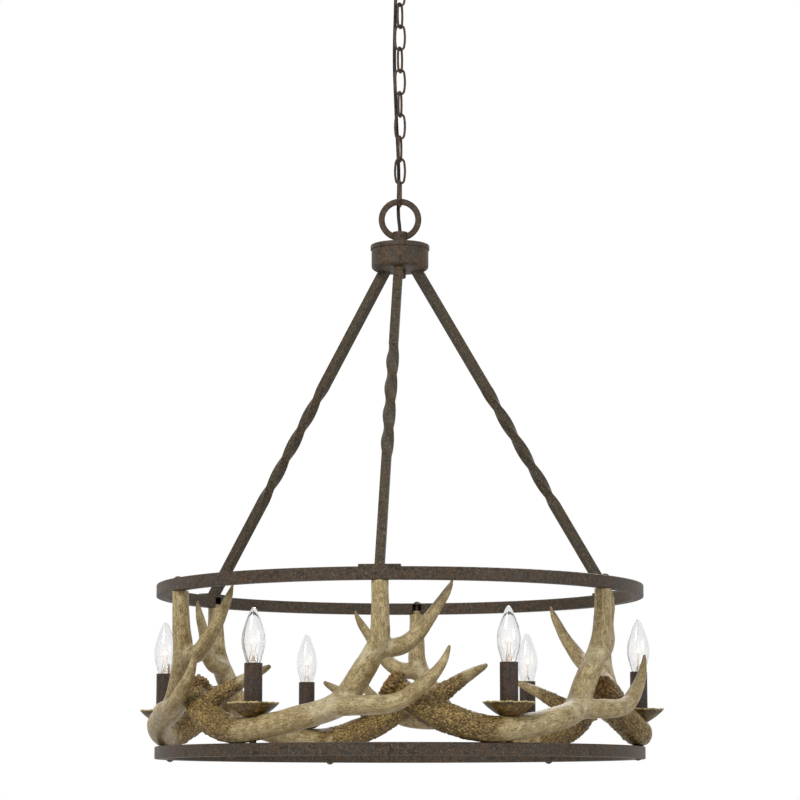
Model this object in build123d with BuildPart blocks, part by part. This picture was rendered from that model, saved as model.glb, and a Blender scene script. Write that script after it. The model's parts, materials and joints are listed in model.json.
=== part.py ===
from build123d import *

import os
from math import atan2, cos, degrees, pi, radians, sin

# Six-light chandelier: two rings of square tube joined by six cast antlers, hung from a
# round hub by three twisted rods, and from the ceiling by a chain and a canopy.
# Millimetres, +Z up. The origin is the centre of the crossbar's top face, at the ceiling.

os.makedirs("parts", exist_ok=True)

# ---------------------------------------------------------------- driving dimensions

# rings of square tube
ring_outer_radius = 356.0
ring_tube = 17.5
ring_wall = 1.6
ring_corner = 1.2
ring_gap = 216.35           # from the lower ring's top to the upper ring's bottom
post_count = 6
first_post_angle = -94.5    # the front antler's post
rod_count = 3

# antlers
antler_thickness = 39.0     # the beam at its stoutest
post_top_inset = 3.65       # the post's axis inside the rings' middle line
limb_section_spacing = 15.0
tenon_radius = 6.2
tenon_height = 5.6
tenon_notch_clearance = 0.8

# chain
link_wire = 3.65
link_length = 41.8
link_width = 18.4
link_count = 10
link_clearance = 0.1        # between the wires of two links
loop_clearance = 0.25       # between the last link and the hanging loop's flat band
face_on_yaw = -4.0
edge_on_yaws = [62.0, 65.0, 72.0, 74.0, 80.0]   # from the top link pair down

# ceiling fitting
ceiling_screw_spacing = 88.9
ceiling_screw_hole = 4.8
ceiling_screw_margin = 5.15  # from a screw's hole to the crossbar's end
crossbar_width = 20.0
crossbar_thickness = 2.5
canopy_radius = 64.0
canopy_depth = 23.0
canopy_wall = 1.2
canopy_edge_radius = 10.0
canopy_loop_wire = 5.0
canopy_loop_inner_radius = 13.0
canopy_loop_neck = 2.5       # from the collar's middle to the eye
canopy_collar_radius = 8.5
canopy_collar_height = 10.0

# threaded tubes and the cord's bore
nipple_radius = 4.9
nipple_bore = 3.3
thread_clearance = 0.1
hole_clearance = 0.2
locknut_width = 16.0
locknut_thickness = 3.0

# hanging loop and hub
loop_outer_radius = 32.0
loop_band = 9.2
loop_thickness = 5.5
loop_edge = 2.0
loop_collar_radius = 11.0
loop_collar_height = 20.0
loop_rise = 39.5            # the ring's centre above the hub's lid
hub_radius = 42.5
hub_height = 30.5
hub_wall = 1.2
hub_edge_radius = 6.0
lid_height = 7.0
lid_clearance = 0.3
lid_edge_radius = 1.6
finial_radius = 8.75
finial_height = 12.3
connector_radius = 5.5
connector_height = 16.0
connector_circle = 29.0

# rods
rod_side = 13.0
rod_top_circle = 28.5       # at the hub's underside
rod_drop = 472.65           # from the hub's underside to the upper ring's top
twist_turn = -360.0          # anticlockwise going down
twist_length = 207.0
twist_starts = [163.0, 203.0, 201.0]   # from the rod's top, one for each rod
twist_steps = 36
foot_length = 57.0
foot_width = 16.0
foot_thickness = 3.2
rod_stud_radius = 3.0
rod_stud_length = 38.0      # below the foot plate
rod_top_stud_radius = 3.0
rod_nut_width = 10.0
rod_nut_thickness = 5.0
rod_thread_end = 2.0         # of the stud past its nut

# bolts
dome_radius = 6.4
dome_height = 3.3
bolt_radius = 3.0
post_bolt_grip = 38.0
base_dome_radius = 5.6
base_dome_height = 3.0
base_bolt_grip = 38.0
base_bolt_offset = -37.0    # degrees from an antler's post

# candles
candle_offset = -30.5       # degrees from an antler's post
cup_radius = 37.5
cup_depth = 19.0
cup_foot_radius = 13.0
cup_wall = 2.0
cup_sink = 0.4              # of the cup's underside into the beam's top
cup_seat_room = 2.5
sleeve_radius = 12.45
sleeve_wall = 1.0
sleeve_height = 70.0        # above the cup's floor
socket_radius = 9.5
socket_height = 34.0
socket_recess = 3.0         # below the sleeve's top
base_radius = 5.9
base_height = 20.0
base_contact_radius = 2.6
base_contact_height = 2.0
glass_height = 78.0
glass_radius = 16.3
glass_neck_radius = 8.6
glass_tip_radius = 3.4
glass_wall = 0.8
ring_lead_radius = 1.9
ring_lead_offset = 5.05     # outside the base bolts

# supply cord
cord_diameter = 5.3
cord_tail = 2.0             # from a threaded tube's end to the cord's end
cord_lead_in = 6.0          # straight out of a collar

# ---------------------------------------------------------------- derived levels

ring_mid_radius = ring_outer_radius - ring_tube / 2
crossbar_length = ceiling_screw_spacing + ceiling_screw_hole + 2 * ceiling_screw_margin
link_inner_length = link_length - 2 * link_wire
link_pitch = link_inner_length - link_clearance
link_end_radius = (link_width - link_wire) / 2
canopy_loop_centre_z = -(canopy_depth + canopy_collar_height / 2 + canopy_loop_neck + canopy_loop_inner_radius)
canopy_loop_seat_z = canopy_loop_centre_z - canopy_loop_inner_radius
first_link_z = canopy_loop_seat_z + link_clearance + link_wire - link_length / 2
link_centres = [first_link_z - index * link_pitch for index in range(link_count)]
last_link_bottom = link_centres[-1] - link_length / 2
loop_inner_radius = loop_outer_radius - loop_band
loop_centre_z = last_link_bottom + link_wire + loop_clearance - loop_inner_radius
lid_top = loop_centre_z - loop_rise
lid_radius = hub_radius + lid_clearance + hub_wall
hub_top = lid_top - hub_wall
hub_bottom = lid_top - hub_height - lid_height
ring_upper_top = hub_bottom - rod_drop
ring_upper_bottom = ring_upper_top - ring_tube
ring_lower_top = ring_upper_bottom - ring_gap
ring_lower_bottom = ring_lower_top - ring_tube
post_angles = [first_post_angle + 360.0 / post_count * index for index in range(post_count)]
rod_posts = post_angles[::post_count // rod_count]
bolt_posts = [angle for angle in post_angles if angle not in rod_posts]


def polar(angle, radius, height):
    """A point from its angle in degrees, its radius and its height."""
    return Vector(radius * cos(radians(angle)), radius * sin(radians(angle)), height)


def save(piece, name):
    """Label a finished piece and write it to its own file."""
    piece.part.label = name
    export_step(piece.part, f"parts/{name}.step")


# ---------------------------------------------------------------- ceiling fitting

with BuildPart() as crossbar:
    with BuildSketch(Plane.XY.offset(-crossbar_thickness)):
        SlotOverall(crossbar_length, crossbar_width)
        with Locations((-ceiling_screw_spacing / 2, 0), (ceiling_screw_spacing / 2, 0)):
            Circle(ceiling_screw_hole / 2, mode=Mode.SUBTRACT)
        Circle(nipple_radius + thread_clearance, mode=Mode.SUBTRACT)
    extrude(amount=crossbar_thickness)
save(crossbar, "crossbar")

canopy_bottom = -canopy_depth
with BuildPart() as canopy:
    with BuildSketch():
        Circle(canopy_radius)
    extrude(amount=-canopy_depth)
    fillet(canopy.edges().group_by(Axis.Z)[0], radius=canopy_edge_radius)
    offset(amount=-canopy_wall, openings=canopy.faces().sort_by(Axis.Z)[-1])
    with Locations((0, 0, canopy_bottom)):
        Cylinder(nipple_radius + hole_clearance, 3 * canopy_wall, mode=Mode.SUBTRACT)
save(canopy, "canopy")

collar_top = canopy_bottom
collar_bottom = collar_top - canopy_collar_height
nipple_end = collar_bottom + canopy_collar_height / 2
with BuildPart() as canopy_loop:
    with BuildSketch(Plane.XZ.offset(0)) as canopy_loop_section:
        with Locations((0, canopy_loop_centre_z + canopy_loop_inner_radius + canopy_loop_wire / 2)):
            Circle(canopy_loop_wire / 2)
    revolve(axis=Axis((0, 0, canopy_loop_centre_z), (1, 0, 0)))
    with BuildSketch(Plane.XY.offset(collar_bottom)):
        Circle(canopy_collar_radius)
    extrude(amount=canopy_collar_height)
    with BuildSketch(Plane.XY.offset(nipple_end)):
        Circle(nipple_radius + thread_clearance)
    extrude(amount=canopy_collar_height, mode=Mode.SUBTRACT)
    with BuildSketch(Plane.XY.offset(collar_bottom - canopy_loop_wire)):
        Circle(nipple_bore)
    extrude(amount=canopy_collar_height, mode=Mode.SUBTRACT)
save(canopy_loop, "canopy_loop")

canopy_nipple_top = -0.5
with BuildPart() as canopy_nipple:
    with BuildSketch(Plane.XY.offset(nipple_end)):
        Circle(nipple_radius)
        Circle(nipple_bore, mode=Mode.SUBTRACT)
    extrude(amount=canopy_nipple_top - nipple_end)
save(canopy_nipple, "canopy_nipple")

with BuildPart() as canopy_nut:
    with BuildSketch(Plane.XY.offset(-crossbar_thickness)):
        RegularPolygon(locknut_width / 2, 6, major_radius=False)
        Circle(nipple_radius + thread_clearance, mode=Mode.SUBTRACT)
    extrude(amount=-locknut_thickness)
save(canopy_nut, "canopy_nut")

# ---------------------------------------------------------------- chain


def link_yaws():
    """The chain's links stand crosswise in turn; each has its own small turn."""
    yaws = []
    for index in range(link_count):
        is_face_on = index % 2 == 0
        yaws.append(face_on_yaw if is_face_on else edge_on_yaws[index // 2])
    return yaws


straight = link_length / 2 - link_wire / 2 - link_end_radius
for index, yaw in enumerate(link_yaws()):
    side = Vector(cos(radians(yaw)), sin(radians(yaw)), 0)
    link_plane = Plane(Vector(0, 0, link_centres[index]), x_dir=side, z_dir=Vector(0, 0, 1).cross(side) * -1)
    with BuildPart() as chain_link:
        with BuildLine(link_plane) as link_path:
            right_leg = Line((link_end_radius, -straight), (link_end_radius, straight))
            top_bend = ThreePointArc(
                (link_end_radius, straight), (0, straight + link_end_radius), (-link_end_radius, straight)
            )
            left_leg = Line((-link_end_radius, straight), (-link_end_radius, -straight))
            bottom_bend = ThreePointArc(
                (-link_end_radius, -straight), (0, -straight - link_end_radius), (link_end_radius, -straight)
            )
        with BuildSketch(Plane(right_leg @ 0, z_dir=right_leg % 0)):
            Circle(link_wire / 2)
        sweep()
    save(chain_link, f"chain_link_{index + 1}")

# ---------------------------------------------------------------- hanging loop and hub

boss_top = lid_top + loop_collar_height
hub_nipple_top = lid_top + loop_collar_height / 2
with BuildPart() as hanging_loop:
    with BuildSketch(Plane.YZ):
        with Locations((0, loop_centre_z + loop_outer_radius - loop_band / 2)):
            RectangleRounded(loop_thickness, loop_band, loop_edge)
    revolve(axis=Axis((0, 0, loop_centre_z), (0, 1, 0)))
    with BuildSketch(Plane.XY.offset(lid_top)):
        Circle(loop_collar_radius)
    extrude(amount=loop_collar_height)
    with BuildSketch(Plane.XY.offset(lid_top)):
        Circle(nipple_radius + thread_clearance)
    extrude(amount=hub_nipple_top - lid_top, mode=Mode.SUBTRACT)
    with BuildSketch(Plane.XY.offset(hub_nipple_top)):
        Circle(nipple_bore)
    extrude(amount=loop_collar_height, mode=Mode.SUBTRACT)
save(hanging_loop, "hanging_loop")

with BuildPart() as hub_lid:
    with BuildSketch(Plane.XY.offset(lid_top)):
        Circle(lid_radius)
    extrude(amount=-lid_height)
    fillet(hub_lid.edges().group_by(Axis.Z)[-1], radius=lid_edge_radius)
    with BuildSketch(Plane.XY.offset(hub_top)):
        Circle(lid_radius - hub_wall)
    extrude(amount=-lid_height, mode=Mode.SUBTRACT)
    with Locations((0, 0, lid_top)):
        Cylinder(nipple_radius + hole_clearance, 3 * hub_wall, mode=Mode.SUBTRACT)
save(hub_lid, "hub_lid")

with BuildPart() as hub_body:
    with BuildSketch(Plane.XY.offset(hub_top)):
        Circle(hub_radius)
    extrude(amount=hub_bottom - hub_top)
    fillet(hub_body.edges().group_by(Axis.Z)[0], radius=hub_edge_radius)
    offset(amount=-hub_wall, openings=hub_body.faces().sort_by(Axis.Z)[-1])
    with Locations((0, 0, hub_bottom)):
        Cylinder(nipple_radius + hole_clearance, 3 * hub_wall, mode=Mode.SUBTRACT)
        with PolarLocations(rod_top_circle, len(rod_posts), start_angle=rod_posts[0]):
            Cylinder(rod_top_stud_radius + hole_clearance, 3 * hub_wall, mode=Mode.SUBTRACT)
save(hub_body, "hub_body")

with BuildPart() as hub_finial:
    with BuildSketch(Plane.XY.offset(hub_bottom)):
        Circle(finial_radius)
    extrude(amount=-finial_height)
    chamfer(hub_finial.edges().group_by(Axis.Z)[0], length=1.2)
    with BuildSketch(Plane.XY.offset(hub_bottom)):
        Circle(nipple_radius + thread_clearance)
    extrude(amount=-0.8 * finial_height, mode=Mode.SUBTRACT)
save(hub_finial, "hub_finial")

hub_nipple_bottom = hub_bottom - 0.7 * finial_height
window_height = 12.0
with BuildPart() as hub_nipple:
    with BuildSketch(Plane.XY.offset(hub_nipple_bottom)):
        Circle(nipple_radius)
        Circle(nipple_bore, mode=Mode.SUBTRACT)
    extrude(amount=hub_nipple_top - hub_nipple_bottom)
    with Locations((0, nipple_radius, (hub_top + hub_bottom) / 2)):
        Box(nipple_radius, 2 * nipple_radius, window_height, mode=Mode.SUBTRACT)
save(hub_nipple, "hub_nipple")

connector_base = hub_bottom + hub_wall + 1.0
with BuildPart() as hub_wire_connectors:
    with BuildSketch(Plane.XY.offset(connector_base)):
        with PolarLocations(connector_circle, len(rod_posts), start_angle=rod_posts[0] + 60):
            Circle(connector_radius)
    extrude(amount=connector_height, taper=6)
save(hub_wire_connectors, "hub_wire_connectors")

# ---------------------------------------------------------------- rods

rod_bottom_z = ring_upper_top + foot_thickness
rod_overrun = 2 * rod_side


def rod_frame(angle):
    """The rod's slanted axis: its top point, its downward direction and its length."""
    top = polar(angle, rod_top_circle, hub_bottom)
    bottom = polar(angle, ring_mid_radius, rod_bottom_z)
    along = bottom - top
    return top, along.normalized(), along.length


def rod_section_plane(angle, distance, turn=0.0):
    """The plane square to the rod's axis at a distance from its top, turned about the axis."""
    top, along, _ = rod_frame(angle)
    tangent = polar(angle + 90, 1, 0)
    across = along.cross(tangent)
    side = tangent * cos(radians(turn)) + across * sin(radians(turn))
    return Plane(top + along * distance, x_dir=side, z_dir=along)


def rod_sections(angle, twist_start):
    """Planes of the rod's square sections: two straight stretches and the twist between them."""
    planes = [rod_section_plane(angle, -rod_overrun)]
    for step in range(twist_steps + 1):
        share = step / twist_steps
        planes.append(rod_section_plane(angle, twist_start + share * twist_length, share * twist_turn))
    planes.append(rod_section_plane(angle, rod_frame(angle)[2] + rod_overrun))
    return planes


for number, angle in enumerate(rod_posts, start=1):
    with BuildPart() as rod:
        for section_plane in rod_sections(angle, twist_starts[number - 1]):
            with BuildSketch(section_plane):
                Rectangle(rod_side, rod_side)
        loft(ruled=True)
        split(bisect_by=Plane.XY.offset(hub_bottom), keep=Keep.BOTTOM)
        split(bisect_by=Plane.XY.offset(rod_bottom_z), keep=Keep.TOP)
        foot_plane = Plane(polar(angle, ring_mid_radius, ring_upper_top), x_dir=polar(angle + 90, 1, 0))
        with BuildSketch(foot_plane):
            Rectangle(foot_length, foot_width)
        extrude(amount=foot_thickness)
        with BuildSketch(foot_plane):
            Circle(rod_stud_radius)
        extrude(amount=-rod_stud_length)
        stud_plane = Plane(polar(angle, rod_top_circle, hub_bottom))
        with BuildSketch(stud_plane):
            Circle(rod_top_stud_radius)
        extrude(amount=hub_wall + rod_nut_thickness + rod_thread_end)
    save(rod, f"rod_{number}")

with BuildPart() as rod_nuts:
    with BuildSketch(Plane.XY.offset(hub_bottom + hub_wall)):
        with PolarLocations(rod_top_circle, len(rod_posts), start_angle=rod_posts[0]):
            RegularPolygon(rod_nut_width / 2, 6, major_radius=False)
            Circle(rod_top_stud_radius + thread_clearance, mode=Mode.SUBTRACT)
    extrude(amount=rod_nut_thickness)
save(rod_nuts, "rod_nuts")

# ---------------------------------------------------------------- antlers

# Stations of one antler from root to tip. Each holds the degrees from the antler's post, the
# offset from the rings' middle line and the height above the lower ring's top, both in
# shares of the gap between the rings, and the diameter in shares of the beam's thickness.
beam = [
    (-57.5, -0.0982, 0.3420, 0.872),
    (-52.5, -0.0659, 0.2542, 0.949),
    (-48.0, -0.0428, 0.1849, 1.000),
    (-42.0, -0.0173, 0.1225, 0.987),
    (-36.5, -0.0012, 0.0850, 0.954),
    (candle_offset, 0.0058, 0.0887, 0.872),
    (-22.0, 0.0127, 0.1271, 0.859),
    (-14.0, 0.0012, 0.1826, 0.859),
    (-9.2, -0.0428, 0.2427, 0.897),
    (-5.7, -0.0659, 0.3698, 0.846),
    (-2.6, -0.0589, 0.5038, 0.795),
    (-0.3, -0.0428, 0.6286, 0.744),
    (0.0, -0.0266, 0.7488, 0.654),
    (0.0, -0.0187, 0.8782, 0.603),
    (0.0, -0.0169, 1.0446, 0.590),
]
lower_tine = [
    (-14.0, 0.0058, 0.1872, 0.641),
    (-8.0, 0.0312, 0.2196, 0.692),
    (-2.0, 0.0589, 0.2242, 0.679),
    (4.0, 0.0751, 0.2473, 0.628),
    (8.7, 0.0844, 0.3351, 0.526),
    (12.6, 0.0913, 0.4483, 0.372),
    (14.2, 0.0959, 0.5362, 0.218),
    (14.8, 0.0959, 0.5916, 0.092),
]
upper_tine = [
    (-3.0, -0.0566, 0.5408, 0.615),
    (1.0, -0.0797, 0.5778, 0.667),
    (5.0, -0.0959, 0.5986, 0.641),
    (8.6, -0.1028, 0.6702, 0.551),
    (11.9, -0.1283, 0.7811, 0.436),
    (14.9, -0.1329, 0.8921, 0.321),
    (16.8, -0.1352, 0.9753, 0.192),
    (17.4, -0.1375, 1.0146, 0.092),
]
brow_tine = [
    (-50.5, -0.0566, 0.2311, 0.667),
    (-46.5, -0.0844, 0.2912, 0.628),
    (-41.5, -0.1421, 0.3698, 0.500),
    (-36.0, -0.1976, 0.4460, 0.359),
    (-33.0, -0.2207, 0.4807, 0.244),
    (-32.2, -0.2276, 0.4923, 0.128),
]
burr = [
    (-58.6, -0.1028, 0.3633, 0.846),
    (-58.0, -0.1005, 0.3522, 1.154),
    (-56.8, -0.0936, 0.3319, 1.205),
    (-55.8, -0.0876, 0.3143, 0.949),
]
nub = [
    (-57.0, -0.0797, 0.3051, 0.462),
    (-58.0, -0.0820, 0.2496, 0.385),
    (-58.6, -0.0844, 0.1988, 0.231),
]

post_top_radius = ring_mid_radius - post_top_inset


def station_point(station):
    """The centre of a station's section."""
    angle, offset_share, height_share, _ = station
    return polar(angle, ring_mid_radius + offset_share * ring_gap, ring_lower_top + height_share * ring_gap)


def diameter_at(share, stations):
    """The limb's diameter at a share of its length, between the stations on either side."""
    points = [station_point(station) for station in stations]
    reached = [0.0]
    for before, after in zip(points, points[1:]):
        reached.append(reached[-1] + (after - before).length)
    place = share * reached[-1]
    for index in range(1, len(stations)):
        if place <= reached[index] or index == len(stations) - 1:
            part_way = (place - reached[index - 1]) / (reached[index] - reached[index - 1])
            wider, narrower = stations[index - 1][3], stations[index][3]
            return antler_thickness * (wider + (narrower - wider) * min(part_way, 1.0))


def limb(stations):
    """A solid along a smooth curve through the stations, with round sections evenly spaced."""
    with BuildLine(mode=Mode.PRIVATE) as limb_line:
        curve = Spline(*[station_point(station) for station in stations])
    section_count = max(4, round(curve.length / limb_section_spacing))
    with BuildPart() as limb_solid:
        for index in range(section_count + 1):
            share = index / section_count
            centre = curve @ share
            outward = Vector(centre.X, centre.Y, 0).normalized()
            with BuildSketch(Plane(centre, x_dir=outward, z_dir=curve % share)):
                Circle(diameter_at(share, stations) / 2)
        loft()
    return limb_solid.part


def collar(stations):
    """A solid with straight sides between round sections at the stations."""
    points = [station_point(station) for station in stations]
    with BuildPart() as collar_solid:
        for index, station in enumerate(stations):
            before = points[max(index - 1, 0)]
            after = points[min(index + 1, len(points) - 1)]
            with BuildSketch(Plane(points[index], x_dir=polar(station[0], 1, 0), z_dir=after - before)):
                Circle(station[3] * antler_thickness / 2)
        loft(ruled=True)
    return collar_solid.part


candle_rest = next(station for station in beam if station[0] == candle_offset)
cup_seat = candle_rest[2] * ring_gap + candle_rest[3] * antler_thickness / 2 - cup_sink
cup_bottom = ring_lower_top + cup_seat
saw_block = 60.0
with BuildPart() as antler_mould:
    add(limb(beam))
    add(limb(lower_tine))
    add(limb(upper_tine))
    add(limb(brow_tine))
    add(limb(nub))
    add(collar(burr))
    # the post is sawn level under the upper ring, and the beam is flat where it rests
    with Locations((post_top_radius, 0, ring_upper_bottom + saw_block / 2)):
        Box(saw_block, saw_block, saw_block, mode=Mode.SUBTRACT)
    split(bisect_by=Plane.XY.offset(ring_lower_top), keep=Keep.TOP)
    # a tenon on the post stands in the upper ring's notch
    with BuildSketch(Plane.XY.offset(ring_upper_bottom - 1)):
        with Locations((post_top_radius, 0)):
            Circle(tenon_radius)
    extrude(amount=tenon_height + 1)
    with BuildSketch(Plane.XY.offset(ring_upper_top - rod_stud_length - 2)):
        with Locations((ring_mid_radius, 0)):
            Circle(rod_stud_radius + hole_clearance)
    extrude(amount=rod_stud_length + 2, mode=Mode.SUBTRACT)
    # the bolt from the lower ring
    with BuildSketch(Plane.XY.offset(ring_lower_top)):
        with Locations(polar(base_bolt_offset, ring_mid_radius, 0)):
            Circle(bolt_radius + hole_clearance)
    extrude(amount=base_bolt_grip - ring_tube + 1, mode=Mode.SUBTRACT)
    # the candle's seat and the hole for its threaded tube
    with BuildSketch(Plane.XY.offset(cup_bottom)):
        with Locations(polar(candle_offset, ring_mid_radius, 0)):
            Circle(cup_foot_radius + cup_seat_room)
    extrude(amount=0.7 * cup_depth, taper=-62, mode=Mode.SUBTRACT)
    with BuildSketch(Plane.XY.offset(ring_lower_top)):
        with Locations(polar(candle_offset, ring_mid_radius, 0)):
            Circle(nipple_radius + hole_clearance)
    extrude(amount=cup_seat + 1, mode=Mode.SUBTRACT)

for number, angle in enumerate(post_angles, start=1):
    with BuildPart() as antler:
        add(antler_mould.part.rotate(Axis.Z, angle))
    save(antler, f"antler_{number}")

# ---------------------------------------------------------------- rings

with BuildPart() as upper_ring:
    with BuildSketch(Plane.XZ):
        with Locations((ring_mid_radius, ring_upper_top - ring_tube / 2)):
            RectangleRounded(ring_tube, ring_tube, ring_corner)
            Rectangle(ring_tube - 2 * ring_wall, ring_tube - 2 * ring_wall, mode=Mode.SUBTRACT)
    revolve(axis=Axis.Z)
    notch_depth = ring_mid_radius + tenon_radius / 2 - (ring_outer_radius - ring_tube)
    notch_width = 2 * (tenon_radius + tenon_notch_clearance)
    for angle in post_angles:
        notch_plane = Plane(
            polar(angle, ring_outer_radius - ring_tube + notch_depth, ring_upper_bottom), x_dir=polar(angle, 1, 0)
        )
        with BuildSketch(notch_plane):
            Rectangle(2 * notch_depth, notch_width, align=(Align.MAX, Align.CENTER))
        extrude(amount=ring_tube - ring_wall, mode=Mode.SUBTRACT)
        with BuildSketch(Plane(polar(angle, ring_mid_radius, ring_upper_bottom))):
            Circle(rod_stud_radius + hole_clearance)
        extrude(amount=ring_tube, mode=Mode.SUBTRACT)
save(upper_ring, "upper_ring")

with BuildPart() as lower_ring:
    with BuildSketch(Plane.XZ):
        with Locations((ring_mid_radius, ring_lower_top - ring_tube / 2)):
            RectangleRounded(ring_tube, ring_tube, ring_corner)
            Rectangle(ring_tube - 2 * ring_wall, ring_tube - 2 * ring_wall, mode=Mode.SUBTRACT)
    revolve(axis=Axis.Z)
    for angle in post_angles:
        with BuildSketch(Plane(polar(angle + base_bolt_offset, ring_mid_radius, ring_lower_bottom))):
            Circle(bolt_radius + hole_clearance)
        extrude(amount=ring_tube, mode=Mode.SUBTRACT)
        with BuildSketch(Plane(polar(angle + candle_offset, ring_mid_radius, ring_lower_top - ring_wall))):
            Circle(nipple_radius + thread_clearance)
        extrude(amount=ring_wall, mode=Mode.SUBTRACT)
save(lower_ring, "lower_ring")

# ---------------------------------------------------------------- bolts


def dome_bolt(angle, face_z, up, head_radius, head_height, shank_length):
    """A bolt whose dome head lies on a face; up is 1 for a head on top, -1 for one below."""
    crown_radius = (head_radius ** 2 + head_height ** 2) / (2 * head_height)
    half_angle = atan2(head_radius, crown_radius - head_height) / 2
    crown_mid = (crown_radius * sin(half_angle), head_height - crown_radius * (1 - cos(half_angle)))
    with BuildPart() as bolt:
        with BuildSketch(Plane.XZ):
            with BuildLine():
                ThreePointArc((0, head_height), crown_mid, (head_radius, 0))
                Polyline((head_radius, 0), (bolt_radius, 0), (bolt_radius, -shank_length), (0, -shank_length))
                Line((0, -shank_length), (0, head_height))
            make_face()
        revolve(axis=Axis.Z)
    placed = bolt.part if up > 0 else bolt.part.rotate(Axis.X, 180)
    return placed.moved(Location(polar(angle, ring_mid_radius, face_z)))


with BuildPart() as post_bolts:
    for angle in bolt_posts:
        add(dome_bolt(angle, ring_upper_top, 1, dome_radius, dome_height, post_bolt_grip))
save(post_bolts, "post_bolts")

with BuildPart() as base_bolts:
    for angle in post_angles:
        add(dome_bolt(angle + base_bolt_offset, ring_lower_bottom, -1,
                      base_dome_radius, base_dome_height, base_bolt_grip))
save(base_bolts, "base_bolts")

# ---------------------------------------------------------------- candles

candle_angles = [angle + candle_offset for angle in post_angles]
cup_rim = cup_bottom + cup_depth
cup_floor = cup_bottom + cup_wall
for number, angle in enumerate(candle_angles, start=1):
    with BuildPart() as candle_cup:
        with BuildSketch(Plane.XZ):
            with BuildLine():
                Line((0, 0), (cup_foot_radius, 0))
                Spline(
                    [(cup_foot_radius, 0), (0.66 * cup_radius, 0.34 * cup_depth), (cup_radius, cup_depth)],
                    tangents=[(1, 0.25), (0.55, 1)],
                )
                Line((cup_radius, cup_depth), (cup_radius - cup_wall, cup_depth))
                Spline(
                    [
                        (cup_radius - cup_wall, cup_depth),
                        (0.66 * cup_radius - 0.6 * cup_wall, 0.34 * cup_depth + cup_wall),
                        (cup_foot_radius, cup_wall),
                    ],
                    tangents=[(-0.55, -1), (-1, -0.2)],
                )
                Line((cup_foot_radius, cup_wall), (0, cup_wall))
                Line((0, cup_wall), (0, 0))
            make_face()
        revolve(axis=Axis.Z)
        Cylinder(nipple_radius + hole_clearance, 3 * cup_wall, mode=Mode.SUBTRACT)
    candle_cup.part.locate(Location(polar(angle, ring_mid_radius, cup_bottom)))
    save(candle_cup, f"candle_cup_{number}")

sleeve_top_z = cup_floor + sleeve_height
with BuildPart() as candle_sleeves:
    with BuildSketch(Plane.XY.offset(cup_floor)):
        with PolarLocations(ring_mid_radius, post_count, start_angle=candle_angles[0]):
            Circle(sleeve_radius)
            Circle(sleeve_radius - sleeve_wall, mode=Mode.SUBTRACT)
    extrude(amount=sleeve_top_z - cup_floor)
save(candle_sleeves, "candle_sleeves")

socket_top_z = sleeve_top_z - socket_recess
socket_bottom_z = socket_top_z - socket_height
socket_floor = 5.0
with BuildPart() as lamp_sockets:
    with BuildSketch(Plane.XY.offset(socket_bottom_z)):
        with PolarLocations(ring_mid_radius, post_count, start_angle=candle_angles[0]):
            Circle(socket_radius)
    extrude(amount=socket_height)
    with BuildSketch(Plane.XY.offset(socket_top_z)):
        with PolarLocations(ring_mid_radius, post_count, start_angle=candle_angles[0]):
            Circle(base_radius + thread_clearance)
    extrude(amount=-(base_height + base_contact_height + thread_clearance), mode=Mode.SUBTRACT)
    with BuildSketch(Plane.XY.offset(socket_bottom_z)):
        with PolarLocations(ring_mid_radius, post_count, start_angle=candle_angles[0]):
            Circle(nipple_radius + thread_clearance)
    extrude(amount=socket_floor, mode=Mode.SUBTRACT)
save(lamp_sockets, "lamp_sockets")

nipple_foot_z = ring_lower_top - ring_wall - 2
with BuildPart() as candle_nipples:
    with BuildSketch(Plane.XY.offset(nipple_foot_z)):
        with PolarLocations(ring_mid_radius, post_count, start_angle=candle_angles[0]):
            Circle(nipple_radius)
            Circle(nipple_bore, mode=Mode.SUBTRACT)
    extrude(amount=socket_bottom_z + socket_floor - nipple_foot_z)
save(candle_nipples, "candle_nipples")

# ---------------------------------------------------------------- bulbs


def bulb_shape(inset):
    """The torpedo bulb's envelope as a solid, drawn in by an inset all round."""
    tip_radius = glass_tip_radius - inset
    tip_centre = glass_height - glass_tip_radius
    tip_join = (tip_radius * cos(radians(38)), tip_centre + tip_radius * sin(radians(38)))
    tip_middle = (tip_radius * cos(radians(64)), tip_centre + tip_radius * sin(radians(64)))
    with BuildPart() as envelope:
        with BuildSketch(Plane.XZ):
            with BuildLine():
                Spline(
                    [
                        (glass_neck_radius - inset, 0),
                        (0.80 * glass_radius - inset, 0.18 * glass_height),
                        (0.96 * glass_radius - inset, 0.31 * glass_height),
                        (glass_radius - inset, 0.43 * glass_height),
                        (0.96 * glass_radius - inset, 0.57 * glass_height),
                        (0.77 * glass_radius - inset, 0.75 * glass_height),
                        (0.53 * glass_radius - inset, 0.87 * glass_height),
                        tip_join,
                    ],
                    tangents=[(0.5, 1), (-sin(radians(38)), cos(radians(38)))],
                )
                ThreePointArc(tip_join, tip_middle, (0, glass_height - inset))
                Line((0, glass_height - inset), (0, 0))
                Line((0, 0), (glass_neck_radius - inset, 0))
            make_face()
        revolve(axis=Axis.Z)
    return envelope.part


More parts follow.
